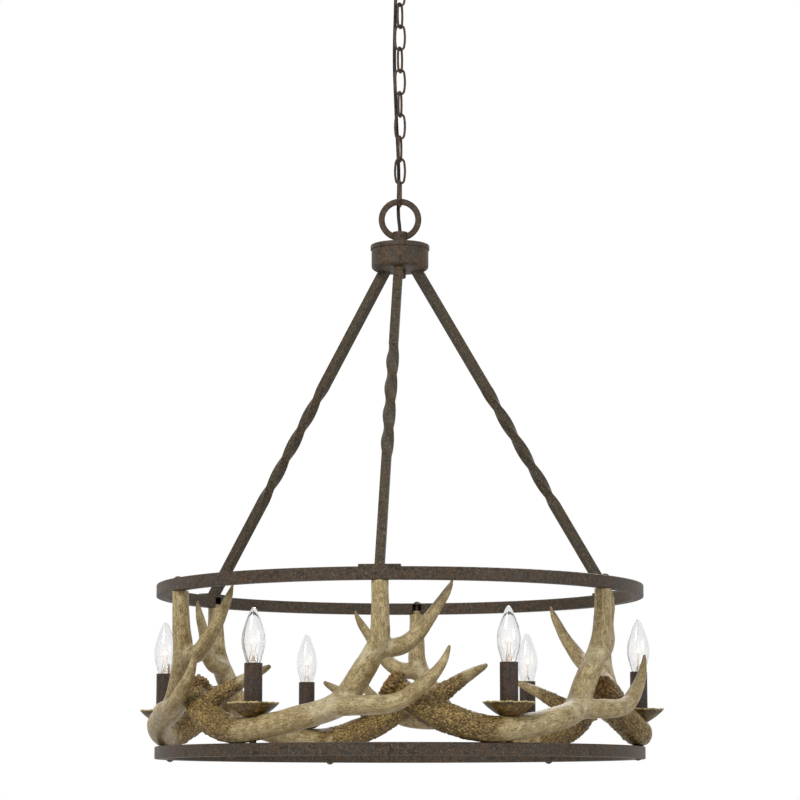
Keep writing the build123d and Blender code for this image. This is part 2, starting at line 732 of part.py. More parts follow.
glass_bottom_z = socket_top_z + 1.0
for number, angle in enumerate(candle_angles, start=1):
    with BuildPart() as bulb_base:
        with BuildSketch(Plane.XY.offset(-base_height)):
            Circle(base_radius)
        extrude(amount=base_height)
        with BuildSketch():
            Circle(glass_neck_radius - glass_wall - 0.3)
        extrude(amount=1.0)
        with BuildSketch(Plane.XY.offset(-base_height)):
            Circle(base_contact_radius)
        extrude(amount=-base_contact_height)
    bulb_base.part.locate(Location(polar(angle, ring_mid_radius, socket_top_z)))
    save(bulb_base, f"bulb_base_{number}")

    with BuildPart() as bulb_glass:
        add(bulb_shape(0.0))
        add(bulb_shape(glass_wall), mode=Mode.SUBTRACT)
    bulb_glass.part.locate(Location(polar(angle, ring_mid_radius, glass_bottom_z)))
    save(bulb_glass, f"bulb_glass_{number}")

# ---------------------------------------------------------------- leads and supply cord

with BuildPart() as ring_lead:
    with BuildSketch(Plane.XZ):
        with Locations((ring_mid_radius + ring_lead_offset, ring_lower_bottom + ring_wall + ring_lead_radius + 0.2)):
            Circle(ring_lead_radius)
    revolve(axis=Axis.Z)
save(ring_lead, "ring_lead")

# The cord leaves the hub through the loop's collar and runs up behind the chain into the
# canopy loop's collar. Between the collars, a place on it is a share of the span up and
# two shares of a link's width to the side and back.
cord_span = collar_bottom - boss_top
cord_places = [
    (-0.136, 0.272, 0.0586),
    (-0.141, 0.696, 0.1172),
    (-0.087, 0.717, 0.1905),
    (-0.141, 0.701, 0.2930),
    (-0.272, 0.522, 0.4029),
    (-0.370, 0.446, 0.5176),
    (-0.467, 0.402, 0.6300),
    (-0.446, 0.391, 0.7374),
    (-0.370, 0.380, 0.8448),
    (-0.348, 0.348, 0.9365),
]
cord_route = [
    (0.0, 0.0, hub_nipple_top + cord_tail),
    (0.0, 0.0, boss_top + cord_lead_in),
    *[(side * link_width, back * link_width, boss_top + up * cord_span) for side, back, up in cord_places],
    (0.0, 0.0, collar_bottom - cord_lead_in),
    (0.0, 0.0, nipple_end - cord_tail / 2),
]


def tangent_radii(points):
    """The largest arc at each corner that its two runs leave room for."""
    radii = []
    for before, corner, after in zip(points, points[1:], points[2:]):
        into = corner - before
        out_of = after - corner
        turn = radians(into.get_angle(out_of))
        radii.append(0.45 * min(into.length, out_of.length) / max(1e-6, sin(turn / 2) / cos(turn / 2)))
    return radii


cord_points = [Vector(*point) for point in cord_route]
cord_radii = tangent_radii(cord_points)
print("cord radii", [round(radius, 1) for radius in cord_radii])
with BuildPart() as supply_cord:
    with BuildLine() as cord_path:
        FilletPolyline(*cord_points, radius=cord_radii)
    with BuildSketch(Plane(cord_points[0], z_dir=cord_points[1] - cord_points[0])):
        Circle(cord_diameter / 2)
    sweep()
print("cord length", round(cord_path.wires()[0].length, 1), "volume share",
      round(supply_cord.part.volume / (pi * cord_diameter ** 2 / 4 * cord_path.wires()[0].length), 4))
save(supply_cord, "supply_cord")
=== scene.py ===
import json
import math
import random

import bmesh
import bpy
import numpy as np
from mathutils import Matrix, Vector, kdtree, noise


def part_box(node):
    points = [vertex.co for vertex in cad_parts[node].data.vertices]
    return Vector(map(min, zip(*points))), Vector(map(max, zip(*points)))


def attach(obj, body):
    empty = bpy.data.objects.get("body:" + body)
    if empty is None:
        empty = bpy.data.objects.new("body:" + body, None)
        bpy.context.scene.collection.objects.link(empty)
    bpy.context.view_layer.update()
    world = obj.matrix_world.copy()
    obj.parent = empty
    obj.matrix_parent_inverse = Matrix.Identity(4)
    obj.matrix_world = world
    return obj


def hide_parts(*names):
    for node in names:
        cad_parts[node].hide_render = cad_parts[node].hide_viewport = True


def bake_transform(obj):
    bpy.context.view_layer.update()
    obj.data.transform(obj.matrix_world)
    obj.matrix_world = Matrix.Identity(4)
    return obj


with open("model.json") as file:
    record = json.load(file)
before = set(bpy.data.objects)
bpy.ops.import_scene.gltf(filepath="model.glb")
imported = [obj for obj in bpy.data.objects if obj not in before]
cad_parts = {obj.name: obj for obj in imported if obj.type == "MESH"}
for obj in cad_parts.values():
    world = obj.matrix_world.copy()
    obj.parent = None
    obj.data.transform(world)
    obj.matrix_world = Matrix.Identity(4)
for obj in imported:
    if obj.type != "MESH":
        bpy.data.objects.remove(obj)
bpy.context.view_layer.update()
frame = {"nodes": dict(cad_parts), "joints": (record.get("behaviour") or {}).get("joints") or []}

nodes = frame["nodes"]

# ---------------------------------------------------------------- places, in metres

RING_MID = 0.34725          # the rings' middle line
RING_GAP = 0.21635          # clear height between the rings
THICKNESS = 0.039           # an antler's beam at its stoutest
UPPER_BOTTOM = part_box("upper_ring")[0].z
LOWER_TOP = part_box("lower_ring")[1].z
ANTLERS = 6
ANTLER_STEP = 60            # degrees from one antler to the next
POST_ANGLES = [-94.5 + ANTLER_STEP * k for k in range(ANTLERS)]
CANDLE_OFFSET = -30.5       # degrees from an antler's post to its candle
CANDLE_ANGLES = [angle + CANDLE_OFFSET for angle in POST_ANGLES]
LINKS = 10


def polar(angle, radius, height):
    """A point at an angle in degrees, a distance from the fixture's axis and a height."""
    turn = math.radians(angle)
    return Vector((radius * math.cos(turn), radius * math.sin(turn), height))


def lin(r, g, b):
    """A colour written in sRGB steps of 0 to 255, as linear values."""
    def one(v):
        v /= 255
        return v / 12.92 if v <= 0.04045 else ((v + 0.055) / 1.055) ** 2.4
    return (one(r), one(g), one(b), 1.0)


# ---------------------------------------------------------------- camera, lights, room

CAMERA_PLACE = (0.0, -4.025, -1.287)
CAMERA_TILT = 8.356         # degrees above level
CAMERA_LENS, CAMERA_SENSOR = 123.5, 36.0
LIGHT_AIM = (0, 0, -0.95)   # between the rings

scene = bpy.context.scene
cam_data = bpy.data.cameras.new("camera")
cam_data.lens = CAMERA_LENS
cam_data.sensor_width = CAMERA_SENSOR
cam_data.clip_start, cam_data.clip_end = 0.1, 60.0
cam = bpy.data.objects.new("camera", cam_data)
cam.location = CAMERA_PLACE
cam.rotation_euler = (math.radians(90 + CAMERA_TILT), 0, 0)
scene.collection.objects.link(cam)
scene.camera = cam
scene.view_settings.view_transform = "Standard"


def area_light(name, place, aim, size, power, colour=(1, 1, 1)):
    """A round soft light at a place, turned to face its aim."""
    data = bpy.data.lights.new(name, "AREA")
    data.shape = "DISK"
    data.size = size
    data.energy = power
    data.color = colour
    lamp = bpy.data.objects.new(name, data)
    lamp.location = place
    lamp.rotation_euler = (Vector(aim) - Vector(place)).to_track_quat("-Z", "Y").to_euler()
    scene.collection.objects.link(lamp)


area_light("key", (-1.7, -2.6, 1.3), LIGHT_AIM, 1.5, 84, (1.0, 0.985, 0.96))
area_light("fill", (2.8, -2.4, -0.2), LIGHT_AIM, 1.8, 30, (0.97, 0.985, 1.0))
area_light("rim", (0.6, 2.6, 1.1), (0, 0, -0.9), 1.6, 46)

# A weak even light on the surfaces, and plain white behind them: for the camera, and for what
# glass lets through or gloss mirrors.
SOFT_COLOUR, SOFT_STRENGTH = (0.95, 0.97, 1.0, 1), 0.36

world = bpy.data.worlds.new("world")
scene.world = world
world.use_nodes = True
tree = world.node_tree
tree.nodes.clear()
shown = tree.nodes.new("ShaderNodeOutputWorld")
choice = tree.nodes.new("ShaderNodeMixShader")
soft = tree.nodes.new("ShaderNodeBackground")
white = tree.nodes.new("ShaderNodeBackground")
rays = tree.nodes.new("ShaderNodeLightPath")
seen = tree.nodes.new("ShaderNodeMath")
seen_or_glossy = tree.nodes.new("ShaderNodeMath")
soft.inputs["Color"].default_value = SOFT_COLOUR
soft.inputs["Strength"].default_value = SOFT_STRENGTH
white.inputs["Color"].default_value = (1, 1, 1, 1)
white.inputs["Strength"].default_value = 1.0
seen.operation = seen_or_glossy.operation = "MAXIMUM"
for source, target in (
    (rays.outputs["Is Camera Ray"], seen.inputs[0]),
    (rays.outputs["Is Transmission Ray"], seen.inputs[1]),
    (seen.outputs[0], seen_or_glossy.inputs[0]),
    (rays.outputs["Is Glossy Ray"], seen_or_glossy.inputs[1]),
    (seen_or_glossy.outputs[0], choice.inputs[0]),
    (soft.outputs[0], choice.inputs[1]),
    (white.outputs[0], choice.inputs[2]),
    (choice.outputs[0], shown.inputs[0]),
):
    tree.links.new(source, target)

# ---------------------------------------------------------------- material helpers


class Nodes:
    """A short way to write one material's node tree."""

    def __init__(self, name):
        self.mat = bpy.data.materials.new(name)
        self.mat.use_nodes = True
        self.tree = self.mat.node_tree
        self.tree.nodes.clear()
        self.out = self.tree.nodes.new("ShaderNodeOutputMaterial")
        self.bsdf = self.tree.nodes.new("ShaderNodeBsdfPrincipled")
        self.tree.links.new(self.bsdf.outputs[0], self.out.inputs[0])

    def put(self, socket, value):
        """Link a node's output to a socket, or write a plain value on it."""
        if isinstance(value, bpy.types.NodeSocket):
            self.tree.links.new(value, socket)
        else:
            socket.default_value = value

    def surface(self, values):
        """Give sockets of the surface shader a value or a link each."""
        for socket, value in values.items():
            self.put(self.bsdf.inputs[socket], value)

    def node(self, kind, **settings):
        made = self.tree.nodes.new(kind)
        for key, value in settings.items():
            setattr(made, key, value)
        return made

    def place(self):
        return self.node("ShaderNodeTexCoord").outputs["Object"]

    def attribute(self, name, output="Fac"):
        return self.node("ShaderNodeAttribute", attribute_name=name).outputs[output]

    def scaled(self, vector, scale):
        made = self.node("ShaderNodeMapping")
        self.put(made.inputs["Vector"], vector)
        made.inputs["Scale"].default_value = scale
        return made.outputs[0]

    def noise(self, vector, scale, detail=2.0, rough=0.5, distortion=0.0):
        made = self.node("ShaderNodeTexNoise")
        self.put(made.inputs["Vector"], vector)
        made.inputs["Scale"].default_value = scale
        made.inputs["Detail"].default_value = detail
        made.inputs["Roughness"].default_value = rough
        made.inputs["Distortion"].default_value = distortion
        return made.outputs["Fac"]

    def ramp(self, value, stops):
        """Colours at places from 0 to 1, with straight steps between them."""
        made = self.node("ShaderNodeValToRGB")
        while len(made.color_ramp.elements) < len(stops):
            made.color_ramp.elements.new(0.5)
        for element, (place, colour) in zip(made.color_ramp.elements, stops):
            element.position = place
            element.color = colour
        self.put(made.inputs[0], value)
        return made.outputs[0]

    def mix(self, share, first, second):
        made = self.node("ShaderNodeMix", data_type="RGBA")
        self.put(made.inputs[0], share)
        self.put(made.inputs[6], first)
        self.put(made.inputs[7], second)
        return made.outputs[2]

    def math(self, operation, first, second):
        made = self.node("ShaderNodeMath", operation=operation)
        self.put(made.inputs[0], first)
        self.put(made.inputs[1], second)
        return made.outputs[0]

    def add(self, first, second):
        return self.math("ADD", first, second)

    def times(self, first, second):
        return self.math("MULTIPLY", first, second)

    def span(self, value, low, high, to_low=0.0, to_high=1.0):
        """A value carried from one range to another and held at its ends."""
        made = self.node("ShaderNodeMapRange", clamp=True)
        self.put(made.inputs[0], value)
        for index, v in enumerate((low, high, to_low, to_high), start=1):
            self.put(made.inputs[index], v)
        return made.outputs[0]

    def bump(self, height, strength, distance):
        made = self.node("ShaderNodeBump")
        self.put(made.inputs["Height"], height)
        made.inputs["Strength"].default_value = strength
        made.inputs["Distance"].default_value = distance
        self.tree.links.new(made.outputs[0], self.bsdf.inputs["Normal"])


def bronze(name, dark, brown, rust, grey, speck, metallic=0.15, fine=440, speckle=0.62):
    """Painted aged bronze: clouded browns and grey with a fine powdery speckle."""
    n = Nodes(name)
    where = n.place()
    clouds = n.noise(where, 34, 3, 0.55, 0.4)
    patches = n.noise(where, 130, 4, 0.6)
    grain = n.noise(where, fine, 3, 0.7)
    worn = n.noise(where, 260, 3, 0.7)
    base = n.ramp(patches, [(0.34, dark), (0.46, brown), (0.58, rust), (0.70, brown)])
    base = n.mix(n.span(clouds, 0.48, 0.64, 0, 0.7), base, grey)
    base = n.mix(n.span(worn, 0.54, 0.40, 0, 0.40), base, dark)
    base = n.mix(n.span(grain, 0.54, 0.68, 0, speckle), base, speck)
    base = n.mix(n.span(grain, 0.46, 0.34, 0, speckle), base, dark)
    n.surface({"Base Color": base, "Metallic": metallic, "Specular IOR Level": 0.35,
               "Roughness": n.span(patches, 0.3, 0.7, 0.48, 0.64)})
    n.bump(n.add(grain, worn), 0.5, 0.0006)
    return n.mat


def plain(name, colour, second, scale, rough, metallic=0.0, bump=0.0002, shine=0.5):
    """A surface with a little mottling in its colour and its gloss."""
    n = Nodes(name)
    where = n.place()
    cloud = n.noise(where, scale, 4, 0.6)
    n.surface({"Base Color": n.ramp(cloud, [(0.35, colour), (0.65, second)]), "Metallic": metallic,
               "Roughness": n.span(cloud, 0.3, 0.7, rough - 0.06, rough + 0.08),
               "Specular IOR Level": shine})
    n.bump(n.noise(where, scale * 5, 2, 0.5), 0.2, bump)
    return n.mat


ring_metal = bronze("ring_metal", lin(26, 21, 16), lin(62, 50, 36), lin(78, 57, 38),
                    lin(60, 54, 46), lin(120, 107, 90))
rod_metal = bronze("rod_metal", lin(26, 22, 15), lin(60, 50, 33), lin(74, 58, 36),
                   lin(60, 54, 43), lin(132, 120, 98))
hub_metal = bronze("hub_metal", lin(24, 19, 13), lin(58, 46, 30), lin(82, 58, 32),
                   lin(54, 49, 39), lin(136, 124, 106), fine=620, speckle=0.45)
chain_metal = bronze("chain_metal", lin(24, 17, 11), lin(62, 46, 31), lin(88, 62, 41),
                     lin(50, 42, 34), lin(136, 106, 78), metallic=0.3)
sleeve_metal = bronze("sleeve_metal", lin(28, 22, 17), lin(57, 45, 34), lin(74, 53, 38),
                      lin(48, 42, 38), lin(98, 82, 66), metallic=0.1)
zinc = plain("zinc", lin(168, 168, 164), lin(196, 196, 192), 160, 0.34, metallic=1.0)
black_plastic = plain("black_plastic", lin(26, 24, 23), lin(38, 35, 33), 200, 0.5)
brass = plain("brass", lin(190, 160, 104), lin(214, 186, 130), 260, 0.3, metallic=1.0)
cord_cover = plain("cord_cover", lin(10, 10, 11), lin(24, 24, 25), 300, 0.5, bump=0.0001, shine=0.25)


def wear(data, mat):
    """Give a mesh one material on all its faces."""
    data.materials.clear()
    data.materials.append(mat)
    for polygon in data.polygons:
        polygon.material_index = 0


def dress(mat, *names):
    """Give CAD nodes a material in place of their packed one."""
    for name in names:
        wear(nodes[name].data, mat)


dress(ring_metal, "upper_ring", "lower_ring", "post_bolts", "base_bolts")
dress(rod_metal, "rod_1", "rod_2", "rod_3")
dress(hub_metal, "hanging_loop", "hub_lid", "hub_body", "hub_finial", "canopy", "canopy_loop")
dress(chain_metal, *[f"chain_link_{k}" for k in range(1, LINKS + 1)])
dress(sleeve_metal, "candle_sleeves", "candle_nipples")
dress(zinc, "crossbar", "canopy_nipple", "canopy_nut", "hub_nipple", "rod_nuts")
dress(black_plastic, "lamp_sockets", "hub_wire_connectors")
dress(cord_cover, "ring_lead")
dress(brass, *[f"bulb_base_{k}" for k in range(1, ANTLERS + 1)])

glass = Nodes("bulb_glass")
glass.surface({"Base Color": (0.90, 0.90, 0.905, 1), "Roughness": 0.0, "IOR": 1.47, "Transmission Weight": 1.0})
dress(glass.mat, *[f"bulb_glass_{k}" for k in range(1, ANTLERS + 1)])


def object_of(name, data):
    """An object in the scene that shows a mesh."""
    made = bpy.data.objects.new(name, data)
    scene.collection.objects.link(made)
    return made


def mesh_object(name, vertices, faces, mat):
    """A smooth-shaded piece of vertices and faces, in one material."""
    data = bpy.data.meshes.new(name)
    data.from_pydata([tuple(v) for v in vertices], [], [tuple(f) for f in faces])
    data.validate()
    data.update()
    for polygon in data.polygons:
        polygon.use_smooth = True
    data.materials.append(mat)
    return object_of(name, data)


def tube(centres, radius, sides):
    """Vertices and faces of a round tube along points, with its rings turned as little as can be."""
    points = [Vector(p) for p in centres]
    vertices, faces = [], []
    across = None
    for index, point in enumerate(points):
        ahead = points[min(index + 1, len(points) - 1)] - points[max(index - 1, 0)]
        ahead.normalize()
        if across is None:
            across = ahead.orthogonal().normalized()
        across = (across - ahead * across.dot(ahead)).normalized()
        up = ahead.cross(across)
        for side in range(sides):
            turn = 2 * math.pi * side / sides
            vertices.append(point + (across * math.cos(turn) + up * math.sin(turn)) * radius)
    for index in range(len(points) - 1):
        for side in range(sides):
            a, b = index * sides + side, index * sides + (side + 1) % sides
            faces.append((a, b, b + sides, a + sides))
    faces.append(tuple(reversed(range(sides))))
    faces.append(tuple(range((len(points) - 1) * sides, len(points) * sides)))
    return vertices, faces


# ---------------------------------------------------------------- chain links

LINK_WIRE = 0.00177         # the wire's radius
LINK_END = 0.0063           # radius of a link's round ends, at the wire's middle
LOOP_LINK_END = 0.0071      # the same for the last link, which holds the wide hanging loop
LINK_SIDES = 14             # flats round the wire
END_STEPS, SIDE_STEPS = 22, 30


def oval(half_length, half_width, end_radius):
    """A closed oval of round ends and long bowed sides, as points and outward directions."""
    reach = half_length - end_radius
    tilt = 2 * math.atan((half_width - end_radius) / reach)
    bow = end_radius + reach / math.sin(tilt)
    path = []
    for centre_x, centre_z, radius, first, last, steps in (
        (0, reach, end_radius, tilt, math.pi - tilt, END_STEPS),
        (reach / math.tan(tilt), 0, bow, math.pi - tilt, math.pi + tilt, SIDE_STEPS),
        (0, -reach, end_radius, math.pi + tilt, 2 * math.pi - tilt, END_STEPS),
        (-reach / math.tan(tilt), 0, bow, -tilt, tilt, SIDE_STEPS),
    ):
        for step in range(steps):
            turn = first + (last - first) * step / steps
            path.append((centre_x + radius * math.cos(turn), centre_z + radius * math.sin(turn),
                         math.cos(turn), math.sin(turn)))
    return path


for number in range(1, LINKS + 1):
    link = np.array([v.co for v in nodes[f"chain_link_{number}"].data.vertices])
    middle = (link.max(0) + link.min(0)) / 2
    flat = link[:, :2] - middle[:2]
    wide = np.linalg.eigh(flat.T @ flat)[1][:, 1]      # the way that the solid link faces
    side = Vector((wide[0], wide[1], 0)).normalized()
    across = Vector((-side.y, side.x, 0))
    half_length = (link[:, 2].max() - link[:, 2].min()) / 2 - LINK_WIRE
    half_width = np.abs(flat @ wide).max() - LINK_WIRE
    path = oval(half_length, half_width, LOOP_LINK_END if number == LINKS else LINK_END)
    vertices, faces = [], []
    for x, z, out_x, out_z in path:
        at = Vector(middle) + side * x + Vector((0, 0, z))
        out = side * out_x + Vector((0, 0, out_z))
        for k in range(LINK_SIDES):
            turn = 2 * math.pi * k / LINK_SIDES
            vertices.append(at + (out * math.cos(turn) + across * math.sin(turn)) * LINK_WIRE)
    for i in range(len(path)):
        for k in range(LINK_SIDES):
            a, b = i * LINK_SIDES, (i + 1) % len(path) * LINK_SIDES
            k_next = (k + 1) % LINK_SIDES
            faces.append((a + k, b + k, b + k_next, a + k_next))
    piece = mesh_object(f"oval_link_{number}", vertices, faces, chain_metal)
    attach(piece, f"link_{number}")
    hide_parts(f"chain_link_{number}")

# ---------------------------------------------------------------- supply cord

CORD_RADIUS, CORD_SIDES = 0.00265, 14
CORD_FINENESS = 12          # points of the smooth line per point of the route
# The route's points, from the hub's collar up to the canopy's collar.
CORD_ROUTE = [
    (0.0, 0.0, -0.45055),
    (0.0, 0.0, -0.43655),
    (-0.0025, 0.0050, -0.41855),
    (-0.0026, 0.0128, -0.39455),
    (-0.0016, 0.0132, -0.36455),
    (-0.0026, 0.0129, -0.32255),
    (-0.0050, 0.0096, -0.27755),
    (-0.0068, 0.0082, -0.23055),
    (-0.0086, 0.0074, -0.18455),
    (-0.0082, 0.0072, -0.14055),
    (-0.0068, 0.0070, -0.09655),
    (-0.0064, 0.0064, -0.0590),
    (0.0, 0.0, -0.0390),
    (0.0, 0.0, -0.0290),
]
curve = bpy.data.curves.new("cord_route", "CURVE")
curve.dimensions = "3D"
spline = curve.splines.new("NURBS")
spline.points.add(len(CORD_ROUTE) - 1)
for point, place in zip(spline.points, CORD_ROUTE):
    point.co = (*place, 1.0)
spline.order_u = 3
spline.use_endpoint_u = True
curve.resolution_u = CORD_FINENESS
route_object = object_of("cord_route", curve)
line_mesh = bpy.data.meshes.new_from_object(route_object)
cord_line = [v.co.copy() for v in line_mesh.vertices]
bpy.data.objects.remove(route_object)
if cord_line[0].z > cord_line[-1].z:
    cord_line.reverse()

chain_joints = [j for j in frame["joints"] if j["type"] == "hinge"]
chain_joints.sort(key=lambda j: j["pos_m"][2])       # from the hub up
pivots = [j["pos_m"][2] for j in chain_joints]
# one span to a hinge, cut halfway between hinges; the outer cuts lie past the cord's ends
cuts = [-1.0] + [(a + b) / 2 for a, b in zip(pivots, pivots[1:])] + [1.0]
starts = [min(range(len(cord_line)), key=lambda i: abs(cord_line[i].z - cut)) for cut in cuts]
for number, joint in enumerate(chain_joints, start=1):
    first, last = starts[number - 1], starts[number]
    run = cord_line[first:last + 1]
    piece = mesh_object(f"supply_cord_{number}", *tube(run, CORD_RADIUS, CORD_SIDES), cord_cover)
    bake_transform(piece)
    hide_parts("supply_cord")

# ---------------------------------------------------------------- antlers

# Stations from root to tip: degrees from the antler's post, offset from the rings' middle
# line and height above the lower ring in shares of the rings' gap, and diameter in shares
# of the beam's thickness.
BEAM = [
    (-57.5, -0.0982, 0.3420, 0.872), (-52.5, -0.0659, 0.2542, 0.949), (-48.0, -0.0428, 0.1849, 1.000),
    (-42.0, -0.0173, 0.1225, 0.987), (-36.5, -0.0012, 0.0850, 0.954), (-30.5, 0.0058, 0.0887, 0.872),
    (-22.0, 0.0127, 0.1271, 0.859), (-14.0, 0.0012, 0.1826, 0.859), (-9.2, -0.0428, 0.2427, 0.897),
    (-5.7, -0.0659, 0.3698, 0.846), (-2.6, -0.0589, 0.5038, 0.795), (-0.3, -0.0428, 0.6286, 0.744),
    (0.0, -0.0266, 0.7488, 0.654), (0.0, -0.0187, 0.8782, 0.603), (0.0, -0.0169, 1.0446, 0.590),
]
LOWER_TINE = [
    (-14.0, 0.0058, 0.1872, 0.641), (-8.0, 0.0312, 0.2196, 0.692), (-2.0, 0.0589, 0.2242, 0.679),
    (4.0, 0.0751, 0.2473, 0.628), (8.7, 0.0844, 0.3351, 0.526), (12.6, 0.0913, 0.4483, 0.372),
    (14.2, 0.0959, 0.5362, 0.218), (14.8, 0.0959, 0.5916, 0.092),
]
UPPER_TINE = [
    (-3.0, -0.0566, 0.5408, 0.615), (1.0, -0.0797, 0.5778, 0.667), (5.0, -0.0959, 0.5986, 0.641),
    (8.6, -0.1028, 0.6702, 0.551), (11.9, -0.1283, 0.7811, 0.436), (14.9, -0.1329, 0.8921, 0.321),
    (16.8, -0.1352, 0.9753, 0.192), (17.4, -0.1375, 1.0146, 0.092),
]
BROW_TINE = [
    (-50.5, -0.0566, 0.2311, 0.667), (-46.5, -0.0844, 0.2912, 0.628), (-41.5, -0.1421, 0.3698, 0.500),
    (-36.0, -0.1976, 0.4460, 0.359), (-33.0, -0.2207, 0.4807, 0.244), (-32.2, -0.2276, 0.4923, 0.128),
]
NUB = [(-57.0, -0.0797, 0.3051, 0.462), (-58.0, -0.0820, 0.2496, 0.385), (-58.6, -0.0844, 0.1988, 0.231)]
LIMBS = [BEAM, LOWER_TINE, UPPER_TINE, BROW_TINE, NUB]
BEAM_INDEX, LOWER_INDEX, UPPER_INDEX, BROW_INDEX, NUB_INDEX = range(5)
FIRST_POST = POST_ANGLES[0]

VOXEL, QUICK_VOXEL = 0.0013, 0.0024
CROTCH_PASSES, QUICK_CROTCH_PASSES = 26, 10
EDGE_PASSES = 6             # times that the pebbled zone's edge is softened
LINE_STRIDE = 4             # a limb line's points are searched coarsely, then one by one
PEBBLE_SEED = 7
PEBBLE_CELL = 0.0050        # side of the cells in which neighbouring pebbles are looked up
PEBBLE_GAP = 0.62           # least distance between pebbles, in shares of their sizes' sum
PEBBLE_SPREAD = 0.86        # a pebble's radius in shares of its size
PEBBLE_HEIGHT, PEBBLE_SINK = 0.0024, 0.0010
STREAK_HEIGHT, LUMP_HEIGHT = 0.00034, 0.0007
CORONET_HEIGHT, FACE_DEPTH = 0.0012, 0.0008


def limb_line(stations, count=160):
    """Points, radii and lengths along a limb, smooth through its stations."""
    points = np.array([
        polar(FIRST_POST + angle, RING_MID + offset * RING_GAP, LOWER_TOP + height * RING_GAP)
        for angle, offset, height, _ in stations
    ])
    widths = np.array([s[3] for s in stations]) * THICKNESS / 2
    reached = np.concatenate([[0], np.cumsum(np.linalg.norm(np.diff(points, axis=0), axis=1))])
    slopes = np.gradient(points, reached, axis=0)
    place = np.linspace(0, reached[-1], count)
    step = np.clip(np.searchsorted(reached, place) - 1, 0, len(stations) - 2)
    width = reached[step + 1] - reached[step]
    t = ((place - reached[step]) / width)[:, None]
    w = width[:, None]
    line = ((1 + 2 * t) * (1 - t) ** 2 * points[step] + t * (1 - t) ** 2 * w * slopes[step]
            + t ** 2 * (3 - 2 * t) * points[step + 1] + t ** 2 * (t - 1) * w * slopes[step + 1])
    return line, np.interp(place, reached, widths), place


def frames_along(line):
    """Two directions square to the line at each of its points, carried along without twist."""
    ahead = np.gradient(line, axis=0)
    ahead /= np.linalg.norm(ahead, axis=1)[:, None]
    side = np.zeros_like(line)
    current = np.cross(ahead[0], [0.3, 0.2, 0.9])
    for index in range(len(line)):
        current = current - ahead[index] * current.dot(ahead[index])
        current /= np.linalg.norm(current)
        side[index] = current
    return ahead, side, np.cross(ahead, side)


def mesh_arrays(data):
    """A mesh's points and its edges as arrays."""
    co = np.zeros(len(data.vertices) * 3)
    data.vertices.foreach_get("co", co)
    edges = np.zeros(len(data.edges) * 2, int)
    data.edges.foreach_get("vertices", edges)
    return co.reshape(-1, 3), edges.reshape(-1, 2)


def neighbour_mean(values, edges, count):
    """Each vertex's mean of a value over the vertices that it shares an edge with."""
    total = np.zeros((count,) + values.shape[1:])
    np.add.at(total, edges[:, 0], values[edges[:, 1]])
    np.add.at(total, edges[:, 1], values[edges[:, 0]])
    links = np.bincount(edges.ravel(), minlength=count).clip(1)
    return total / (links[:, None] if values.ndim > 1 else links)


def smoothstep(low, high, value):
    """0 at low, 1 at high and smooth between; low may be the larger of the two."""
    t = np.clip((value - low) / (high - low), 0, 1)
    return t * t * (3 - 2 * t)


def remeshed_antler():
    """The first antler's solid as one closed skin of even small faces."""
    source = object_of("antler_source", nodes["antler_1"].data.copy())
    remesh = source.modifiers.new("remesh", "REMESH")
    remesh.mode = "VOXEL"
    remesh.voxel_size = VOXEL
    bpy.context.view_layer.update()
    data = bpy.data.meshes.new_from_object(source.evaluated_get(bpy.context.evaluated_depsgraph_get()))
    bpy.data.objects.remove(source)
    return data


def nearest_on(line, radius, co):
    """For each point: the nearest point's index on a limb's line, and its distance in radii."""
    away = np.linalg.norm(co[:, None, :] - line[None, ::LINE_STRIDE, :], axis=2)
    best = away.argmin(1) * LINE_STRIDE
    best_away = away.min(1)
    low = np.clip(best - LINE_STRIDE, 0, len(line) - 1)
    for shift in range(2 * LINE_STRIDE + 1):
        at = np.clip(low + shift, 0, len(line) - 1)
        d = np.linalg.norm(co - line[at], axis=1)
        nearer = d < best_away
        best[nearer], best_away[nearer] = at[nearer], d[nearer]
    return best, best_away / radius[best]


def scatter_pebbles(co, burr):
    """Places, sizes and heights of pebbles, packed loosely over the pebbled zone."""
    rng = random.Random(PEBBLE_SEED)
    order = [int(i) for i in np.where(burr > 0.10)[0]]
    rng.shuffle(order)
    taken, seeds = {}, []
    around = [(x, y, z) for x in (-1, 0, 1) for y in (-1, 0, 1) for z in (-1, 0, 1)]
    for i in order:
        size = rng.choice((rng.uniform(0.0016, 0.0028), rng.uniform(0.0026, 0.0050)))
        if rng.random() > burr[i] + 0.25:
            continue
        p = co[i]
        key = tuple(int(math.floor(c / PEBBLE_CELL)) for c in p)
        near = any(
            (p[0] - q[0]) ** 2 + (p[1] - q[1]) ** 2 + (p[2] - q[2]) ** 2 < (PEBBLE_GAP * (size + q_size)) ** 2
            for x, y, z in around
            for q, q_size in taken.get((key[0] + x, key[1] + y, key[2] + z), ())
        )
        if not near:
            taken.setdefault(key, []).append((p, size))
            seeds.append((p, size, rng.uniform(0.45, 1.0) + 90 * size))
    return seeds


def pebble_relief(co, burr, axis):
    """Height of the pebbles at each vertex, drawn out along the limb and a little ragged."""
    seeds = scatter_pebbles(co, burr)
    tree = kdtree.KDTree(len(seeds))
    for i, (p, _, _) in enumerate(seeds):
        tree.insert(Vector(p), i)
    tree.balance()
    noise.seed_set(PEBBLE_SEED)      # noise_vector's offsets would otherwise be drawn from the clock
    relief = np.zeros(len(co))
    for i in np.where(burr > 0.03)[0]:
        height = 0.0
        here = Vector(co[i])
        here += noise.noise_vector(here * 330) * 0.0011
        for _, j, d in tree.find_n(here, 6):
            p, size, tall = seeds[j]
            along = (np.array(here) - p) @ axis[i]
            d = math.sqrt(max(0.0, d * d - 0.5 * along * along))
            if d < size * PEBBLE_SPREAD:
                height = max(height, tall * (1 - (d / (size * PEBBLE_SPREAD)) ** 2))
        relief[i] = height
    return relief


